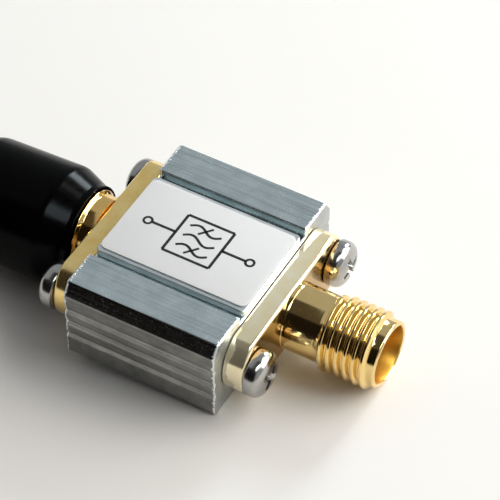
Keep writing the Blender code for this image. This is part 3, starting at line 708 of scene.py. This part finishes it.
def fill_between(work, loops, index):
    """Flat face between an outer loop and the holes in it."""
    edges = []
    for loop in loops:
        for i in range(len(loop)):
            edges.append(work.edges.get((loop[i], loop[(i + 1) % len(loop)])))
    filled = bmesh.ops.triangle_fill(work, edges=edges, use_beauty=True)
    for item in filled["geom"]:
        if isinstance(item, bmesh.types.BMFace):
            item.material_index = index


def thread_point(row, step):
    """Place along X and radius of one thread point, tapering in and out at the thread's ends."""
    share, height = THREAD_FORM[row % len(THREAD_FORM)]
    along = row // len(THREAD_FORM) + step / AROUND
    fade = min(1.0, along / THREAD_RUNOUT, (THREAD_TURNS - along) / THREAD_RUNOUT)
    x = FLANGE_FRONT + NECK_L + THREAD_PITCH * (along + share)
    return x, NECK_R + (THREAD_R - NECK_R) * height * max(0.0, fade)


def add_thread(work, back, front):
    """Helical thread between two plain rings. Its rows climb one pitch a turn, so the last column
    of one turn's row meets the first column of the same row a turn later."""
    per = len(THREAD_FORM)
    last = per * THREAD_TURNS
    grid = []
    for row in range(last + 1):
        line = []
        for step in range(AROUND):
            x, radius = thread_point(row, step)
            a = math.tau * step / AROUND
            place = (x * MM, radius * math.cos(a) * MM, radius * math.sin(a) * MM)
            line.append(work.verts.new(place))
        grid.append(line)
    faces = []
    for row in range(last):
        low, high = grid[row], grid[row + 1]
        for i in range(AROUND - 1):
            faces.append((low[i], low[i + 1], high[i + 1], high[i]))
        if row + per + 1 <= last:
            faces.append((low[-1], grid[row + per][0], grid[row + per + 1][0], high[-1]))
    for plain, edge in ((back, grid[0]), (front, grid[last])):
        for i in range(AROUND - 1):
            faces.append((plain[i], plain[i + 1], edge[i + 1], edge[i]))
    faces.append([back[-1], back[0]] + [grid[r][0] for r in range(per + 1)] + [grid[0][-1]])
    tail = [grid[r][-1] for r in range(last, last - per - 1, -1)]
    faces.append([front[0], front[-1]] + tail + [grid[last][0]])
    for face in faces:
        work.faces.new(face).material_index = 1


def build_connector(end, tag, mats):
    """Flange, neck, thread, rim and bore as one closed body."""
    work = bmesh.new()
    back = rounded_edge(work, flange_outline(), FLANGE_BACK, -1, FLANGE_BACK_ROUND, 2)
    front = rounded_edge(work, flange_outline(), FLANGE_FRONT, 1, FLANGE_ROUND, 5)
    chain = back[::-1] + front
    for a, b in zip(chain, chain[1:]):
        skin(work, a, b)
    front_loops, back_loops = [chain[-1]], [chain[0]]
    for side in (1, -1):
        near = ring(work, FLANGE_FRONT, SCREW_HOLE_R, SCREW_HOLE_STEPS, side * SCREW_Y)
        far = ring(work, FLANGE_BACK, SCREW_HOLE_R, SCREW_HOLE_STEPS, side * SCREW_Y)
        skin(work, near, far)
        front_loops.append(near)
        back_loops.append(far)

    root = [(0.0, ROOT_RING_R), (ROOT_RING_L, ROOT_RING_R)] if end > 0 else COLLAR
    neck = [(FLANGE_FRONT + x, r) for x, r in root] + [
        (FLANGE_FRONT + root[-1][0] + ROOT_SLOPE, NECK_R),
        (FLANGE_FRONT + NECK_L - NECK_HOLD, NECK_R),
        (FLANGE_FRONT + NECK_L - NECK_GAP, NECK_R),
    ]
    neck = turn(work, fillet(neck, NECK_ROUND, 2), AROUND, 1)
    rim = [
        (MOUTH - LEAD_L + LEAD_GAP, NECK_R),
        (MOUTH - RIM_SLOPE, NECK_R),
        (MOUTH, RIM_R),
        (MOUTH, MOUTH_R),
    ]
    rim = turn(work, fillet(rim, RIM_ROUND, 3), AROUND, 1)
    inside = [
        (MOUTH - MOUTH_EDGE, MOUTH_R - MOUTH_EDGE),
        (MOUTH - MOUTH_SLOPE, BORE_R),
        (MOUTH - BORE_DEPTH, BORE_R),
        (MOUTH - BORE_DEPTH, CORE_R),
        (FLANGE_BACK, CORE_R),
    ]
    inside = turn(work, inside, AROUND, 2)
    skin(work, rim[-1], inside[0], 1)
    add_thread(work, neck[-1], rim[0])
    fill_between(work, front_loops + [neck[0]], 3)
    fill_between(work, back_loops + [inside[-1]], 3)
    piece = finish_mesh(f"{tag}_connector_detailed", work, mats, CONNECTOR_SHARP)
    return seat_on(on_axis(piece, end), f"{tag}_connector_body", slot=f"{tag}_gold")


# Screws
def recess_tool(mat):
    """Cross with arms that taper towards its floor."""
    work = bmesh.new()
    top = SCREW_SEAT + HEAD_H
    corner = RECESS_HALF * RECESS_CORNER
    loops = []
    for x, (reach, half) in ((top + RECESS_OVERRUN, RECESS_ABOVE), (top - RECESS_DEPTH, RECESS_FLOOR)):
        points = []
        for quarter in range(4):
            turned = Matrix.Rotation(0.5 * math.pi * quarter, 2)
            arm, side = RECESS_ARM * reach, RECESS_HALF * half
            for point in ((arm, -side), (arm, side), (corner * half, corner * half)):
                points.append(turned @ Vector(point))
        loops.append([work.verts.new((x * MM, p.x * MM, p.y * MM)) for p in points])
    skin(work, loops[0], loops[1])
    work.faces.new(loops[0])
    work.faces.new(loops[1][::-1])
    return finish_mesh("recess_tool", work, [mat])


def screw_mesh(mat):
    """Pan head with a soft rim and a tapered cross recess, on a plain shank."""
    tip = SCREW_SEAT - SHANK_L
    outline = [
        (tip, 0.0),
        (tip, SHANK_TIP_R),
        (tip + SHANK_TIP_L, SHANK_R),
        (SCREW_SEAT, SHANK_R),
    ]
    outline += [(SCREW_SEAT + out, HEAD_R - within) for out, within in HEAD_EDGE]
    outline.append((SCREW_SEAT + HEAD_WALL, HEAD_R))
    for step in range(1, CROWN_STEPS + 1):
        a = 0.5 * math.pi * step / CROWN_STEPS
        radius = HEAD_R * math.cos(a) ** CROWN_POWER if step < CROWN_STEPS else 0.0
        outline.append((SCREW_SEAT + HEAD_WALL + (HEAD_H - HEAD_WALL) * math.sin(a), radius))
    work = bmesh.new()
    turn(work, outline, SCREW_AROUND)
    blank = finish_mesh("screw_blank", work, [mat], SCREW_SHARP)
    tool = recess_tool(mat)
    cut = blank.modifiers.new("recess", "BOOLEAN")
    cut.operation = "DIFFERENCE"
    cut.solver = "EXACT"
    cut.object = tool
    soft = blank.modifiers.new("soft", "BEVEL")
    soft.width = SCREW_SOFTNESS * MM
    soft.segments = 2
    soft.limit_method = "ANGLE"
    soft.angle_limit = math.radians(50)
    graph = bpy.context.evaluated_depsgraph_get()
    mesh = bpy.data.meshes.new_from_object(blank.evaluated_get(graph), depsgraph=graph)
    bpy.data.objects.remove(tool)
    bpy.data.objects.remove(blank)
    mesh.shade_smooth()
    mesh.set_sharp_from_angle(angle=math.radians(SCREW_SHARP))
    return mesh


def build_screws(mat):
    """One screw on each side of both flanges, each stopped at its own angle."""
    base = screw_mesh(mat)
    for tag, end in (("open", 1), ("capped", -1)):
        for side_tag, side in (("near", -1), ("far", 1)):
            name = f"{tag}_{side_tag}"
            mesh = base.copy()
            mesh.transform(Matrix.Rotation(math.radians(SCREW_SPINS[name]), 4, "X"))
            mesh.transform(Matrix.Translation((0, end * side * SCREW_Y * MM, 0)))
            piece = bpy.data.objects.new(f"{name}_screw_detailed", mesh)
            bpy.context.scene.collection.objects.link(piece)
            seat_on(on_axis(piece, end), f"{name}_screw", slot="screw_nickel")


# Dust cap
def build_cap(mat):
    """Turned cap: bore, thin lip, cone, shoulder, barrel and a rounded closed end."""
    outline = [
        (CAP_BORE_L, 0.0),
        (CAP_BORE_L, CAP_BORE - CAP_BORE_ROUND),
        (CAP_BORE_L - CAP_BORE_ROUND, CAP_BORE),
    ]
    outline += fillet(CAP_LIP_FORM, CAP_ROUND, 4)
    for step in range(CAP_END_STEPS + 1):
        a = 0.5 * math.pi * step / CAP_END_STEPS
        x = CAP_L - CAP_END_R + CAP_END_R * math.sin(a)
        outline.append((x, CAP_R - CAP_END_R + CAP_END_R * math.cos(a)))
    outline += [(CAP_L, CAP_END_FLAT_R), (CAP_L, 0.0)]
    work = bmesh.new()
    turn(work, outline, CAP_AROUND)
    piece = finish_mesh("dust_cap_moulded", work, [mat], FINE_SHARP)
    hang = Matrix.Rotation(CAP_YAW, 4, "Z") @ Matrix.Rotation(CAP_DROOP, 4, "Y")
    piece.data.transform(Matrix.Translation(CAP_PLACE * MM) @ hang)
    return seat_on(on_axis(piece, -1), "dust_cap", slot="cap_black")


# Label
def label_outline():
    """Rectangle with rounded corners in (x, y)."""
    points = []
    for sx, sy, first in ((1, 1, 0), (-1, 1, 90), (-1, -1, 180), (1, -1, 270)):
        for step in range(LABEL_CORNER_STEPS + 1):
            a = math.radians(first + 90.0 * step / LABEL_CORNER_STEPS)
            points.append((
                sx * (LABEL_HALF_L - LABEL_CORNER) + LABEL_CORNER * math.cos(a),
                sy * (LABEL_HALF_W - LABEL_CORNER) + LABEL_CORNER * math.sin(a),
            ))
    return points


def build_film(stock):
    """Thin film with rolled edges, lying on the cover plate."""
    work = bmesh.new()
    outline = label_outline()
    levels = [(LABEL_BOTTOM, 0.0)] + [(LABEL_TOP - under, within) for under, within in FILM_EDGE]
    loops = []
    for z, within in levels:
        loops.append([work.verts.new((x * MM, y * MM, z * MM)) for x, y in inset(outline, within)])
    for a, b in zip(loops, loops[1:]):
        skin(work, a, b)
    work.faces.new(loops[-1])
    work.faces.new(loops[0][::-1])
    film = finish_mesh("label_film_sheet", work, [stock], FINE_SHARP)
    return seat_on(film, "label", slot="label_film")


def stroke(work, points, width):
    """Flat ribbon of ink along a line of points."""
    sides = ([], [])
    for i, p in enumerate(points):
        along = Vector(points[min(i + 1, len(points) - 1)]) - Vector(points[max(i - 1, 0)])
        across = Vector((-along.y, along.x)).normalized() * width / 2
        sides[0].append(Vector(p) + across)
        sides[1].append(Vector(p) - across)
    (a, b), (c, d) = (
        [[work.verts.new((q.x * MM, q.y * MM, z * MM)) for q in line] for line in sides]
        for z in (INK_TOP, INK_BOTTOM)
    )
    for i in range(len(points) - 1):
        work.faces.new((b[i], b[i + 1], a[i + 1], a[i]))
        work.faces.new((c[i], c[i + 1], d[i + 1], d[i]))
        work.faces.new((a[i], a[i + 1], c[i + 1], c[i]))
        work.faces.new((d[i], d[i + 1], b[i + 1], b[i]))
    work.faces.new((a[0], c[0], d[0], b[0]))
    work.faces.new((b[-1], d[-1], c[-1], a[-1]))


def build_symbol(ink_mat):
    """Plain band-pass symbol: a box with three waves, the outer two struck through, and two leads."""
    work = bmesh.new()
    half = SYMBOL_HALF
    corners = [(-half, -half), (half, -half), (half, half), (-half, half), (-half, -half)]
    for a, b in zip(corners, corners[1:]):
        stroke(work, [a, b], INK_LINE)
    for row in (-1, 0, 1):
        y = WAVE_SPACING * row
        wave = []
        for t in range(WAVE_STEPS + 1):
            x = -WAVE_HALF + 2.0 * WAVE_HALF * t / WAVE_STEPS
            wave.append((x, y + WAVE_HEIGHT * math.sin(math.tau * t / WAVE_STEPS)))
        stroke(work, wave, WAVE_LINE)
        if row:
            across, up = STRIKE
            stroke(work, [(-across, y - up), (across, y + up)], THIN_LINE)
    for side in (-1, 1):
        stroke(work, [(side * half, 0.0), (side * LEAD_REACH, 0.0)], INK_LINE)
        turns = [math.tau * t / DOT_STEPS for t in range(DOT_STEPS + 1)]
        dot = [(side * DOT_PLACE + DOT_R * math.cos(a), DOT_R * math.sin(a)) for a in turns]
        stroke(work, dot, THIN_LINE)
    return seat_on(finish_mesh("label_symbol", work, [ink_mat], FINE_SHARP), slot="label_film")


# Floor, light and camera
def aim(item, direction):
    """Turns a lamp or camera to look along a direction."""
    item.rotation_euler = Vector(direction).to_track_quat("-Z", "Y").to_euler()


def area(name, towards, width, height, radiance, colour, fills=True):
    """Soft panel seen from the part in a given direction, with a given brightness.
    A panel that doesn't fill shows only in reflections."""
    data = bpy.data.lights.new(name, "AREA")
    data.shape = "RECTANGLE"
    data.size = width
    data.size_y = height
    data.energy = radiance * math.pi * width * height
    data.color = colour
    lamp = bpy.data.objects.new(name, data)
    lamp.visible_diffuse = fills
    bpy.context.scene.collection.objects.link(lamp)
    place = Vector(towards).normalized() * LAMP_DISTANCE
    lamp.location = place
    aim(lamp, -place)


def build_stage(mat):
    """Plain floor through the cap's lowest line and the housing's lower right edge."""
    work = bmesh.new()
    places = [FLOOR_SIZE * (i / FLOOR_CELLS - 0.5) for i in range(FLOOR_CELLS + 1)]
    grid = []
    for x in places:
        z = (x - CASE_END * MM) * FLOOR_SLOPE - FLOOR_DROP
        grid.append([work.verts.new((x, y, z)) for y in places])
    for a, b in zip(grid, grid[1:]):
        for j in range(FLOOR_CELLS):
            work.faces.new((a[j], b[j], b[j + 1], a[j + 1]))
    finish_mesh("floor", work, [mat])


class WorldTree:
    """Small helper for the surroundings' nodes."""

    def __init__(self):
        world = bpy.data.worlds.new("studio")
        bpy.context.scene.world = world
        world.use_nodes = True
        self.tree = world.node_tree
        self.background = self.tree.nodes["Background"]
        coord = self.tree.nodes.new("ShaderNodeTexCoord")
        split = self.tree.nodes.new("ShaderNodeSeparateXYZ")
        self.tree.links.new(coord.outputs["Generated"], split.inputs[0])
        self.x, self.y, self.z = split.outputs

    def maths(self, op, a, b=0.0):
        node = self.tree.nodes.new("ShaderNodeMath")
        node.operation = op
        for socket, value in zip(node.inputs, (a, b)):
            if isinstance(value, (int, float)):
                socket.default_value = value
            else:
                self.tree.links.new(value, socket)
        return node.outputs[0]

    def spread(self, source, low, high, a=0.0, b=1.0):
        node = self.tree.nodes.new("ShaderNodeMapRange")
        for name, value in (("From Min", low), ("From Max", high), ("To Min", a), ("To Max", b)):
            node.inputs[name].default_value = value
        self.tree.links.new(source, node.inputs["Value"])
        return node.outputs["Result"]

    def bands(self, degrees, stops):
        """Colours by angle from -180 to 180 degrees."""
        node = self.tree.nodes.new("ShaderNodeValToRGB")
        scaled = self.spread(degrees, -180.0, 180.0)
        self.tree.links.new(scaled, node.inputs["Fac"])
        ramp = node.color_ramp
        for _ in stops[2:]:
            ramp.elements.new(0.5)
        for element, (angle, _) in zip(ramp.elements, stops):
            element.position = (angle + 180.0) / 360.0
        for element, (_, colour) in zip(ramp.elements, stops):
            element.color = (*colour, 1.0)
        return node.outputs["Color"]

    def mix(self, factor, a, b):
        node = self.tree.nodes.new("ShaderNodeMix")
        node.data_type = "RGBA"
        self.tree.links.new(factor, node.inputs["Factor"])
        for key, value in (("A", a), ("B", b)):
            socket = [s for s in node.inputs if s.name == key and s.type == "RGBA"][0]
            if isinstance(value, tuple):
                socket.default_value = (*value, 1.0)
            else:
                self.tree.links.new(value, socket)
        return [s for s in node.outputs if s.type == "RGBA"][0]


def build_world():
    """Pale room behind and above, black towards the viewer, and a grey wall on the right.
    The angle is 0 overhead, 90 degrees towards the viewer and -90 degrees away from them."""
    w = WorldTree()
    towards = w.maths("MULTIPLY", w.y, -1.0)
    angle = w.maths("MULTIPLY", w.maths("ARCTAN2", towards, w.z), 180.0 / math.pi)
    pale = w.bands(angle, (
        (-180.0, HORIZON), (-86.0, HORIZON), (-82.0, PALE_ROOM),
        (84.0, PALE_ROOM), (88.0, HORIZON), (180.0, HORIZON),
    ))
    dark = w.bands(angle, (
        (-180.0, HORIZON), (-90.0, HORIZON), (-86.0, DIM_ROOM), (34.0, DIM_ROOM),
        (39.0, DARK_ROOM), (88.0, DARK_ROOM), (93.0, HORIZON), (180.0, HORIZON),
    ))
    # The pale ceiling ends on a slant: nearer overhead on the right than on the left
    edge = w.spread(w.x, -0.300, -0.388, -12.0, 30.0)
    past = w.spread(w.maths("SUBTRACT", angle, edge), -3.0, 3.0)
    room = w.mix(past, pale, dark)
    room = w.mix(w.spread(w.x, 0.10, 0.30), room, dark)
    room = w.mix(w.spread(w.x, 0.48, 0.62), room, RIGHT_WALL)
    w.tree.links.new(room, w.background.inputs["Color"])
    w.background.inputs["Strength"].default_value = 1.0


def build_light():
    build_world()
    area("key", (0.66, 0.48, 0.62), 0.60, 0.60, 4.3, (1.0, 0.98, 0.95))
    area("window", (0.07, 0.90, 0.42), 0.17, 0.16, 24.0, (0.84, 0.95, 1.0))
    area("ceiling", (0.37, -0.26, 0.89), 0.34, 0.18, 10.0, (0.80, 0.94, 1.0), fills=False)


def build_camera():
    """Camera at the photograph's angle."""
    data = bpy.data.cameras.new("camera")
    data.lens = CAMERA_LENS
    data.sensor_width = CAMERA_SENSOR
    data.clip_start = 0.01
    data.clip_end = 5.0
    camera = bpy.data.objects.new("camera", data)
    bpy.context.scene.collection.objects.link(camera)
    camera.location = CAMERA_PLACE
    aim(camera, CAMERA_TOWARDS)
    bpy.context.scene.camera = camera


def repaint(node, mat):
    """Gives a carried node its own material."""
    data = nodes[node].data
    data.materials.clear()
    data.materials.append(mat)


def build_connectors():
    """Both sockets, each with its flange's edges, barrel, bore and flange faces. Returns the gold
    of the capped one's barrel."""
    # Painted shade: the bore's gold is darker and deeper than the barrel's, for the shade inside the
    # bore.
    bore = gold("gold_bore_painted_shade", (0.46, 0.23, 0.03), (0.54, 0.28, 0.045), (0.36, 0.46), TURNED)
    # Painted shade: the flat flange faces are a dark gold, for the shadowed floor they reflect.
    face = gold("gold_face_painted_shade", (0.42, 0.27, 0.10), (0.54, 0.36, 0.15), (0.14, 0.22), BRUSHED)
    pale = gold("gold_pale", (0.88, 0.63, 0.25), (0.94, 0.71, 0.32), (0.08, 0.14), TURNED)
    # Painted sheen: the flange golds are lighter, partly diffuse copies of the barrel golds, so the
    # flange tops read brighter; the open one's is the palest.
    pale_flange = gold(
        "gold_pale_flange_painted_sheen", (0.99, 0.83, 0.50), (1.0, 0.93, 0.69), (0.05, 0.10), BRUSHED, metallic=0.74
    )
    rich = gold("gold_rich", (0.92, 0.58, 0.18), (0.99, 0.67, 0.25), (0.07, 0.13), TURNED)
    rich_flange = gold(
        "gold_rich_flange_painted_sheen", (0.90, 0.62, 0.20), (1.0, 0.78, 0.34), (0.07, 0.12), BRUSHED, metallic=0.88
    )
    build_connector(1, "open", [pale_flange, pale, bore, face])
    build_connector(-1, "capped", [rich_flange, rich, bore, face])
    return rich


def main():
    build_housing(extruded_aluminium(), sawn_aluminium())
    rich = build_connectors()
    build_screws(nickel())
    build_cap(black_gloss())
    build_film(label_stock())
    build_symbol(ink())
    repaint("cover_plate", plate_aluminium())
    white, solder = insulator_white(), solder_bright()
    for tag in ("open", "capped"):
        repaint(f"{tag}_insulator", white)
        repaint(f"{tag}_contact", rich)
        repaint(f"{tag}_solder_joint", solder)
    repaint("circuit_board", board_green())
    wire, chip = copper_wire(), chip_body()
    for index in range(3):
        repaint(f"coil_{index + 1}", wire)
    for index in range(4):
        repaint(f"chip_capacitor_{index + 1}", chip)
    build_stage(floor_white())
    build_light()
    build_camera()
    view = bpy.context.scene.view_settings
    view.view_transform = "Standard"
    view.look = "None"


main()
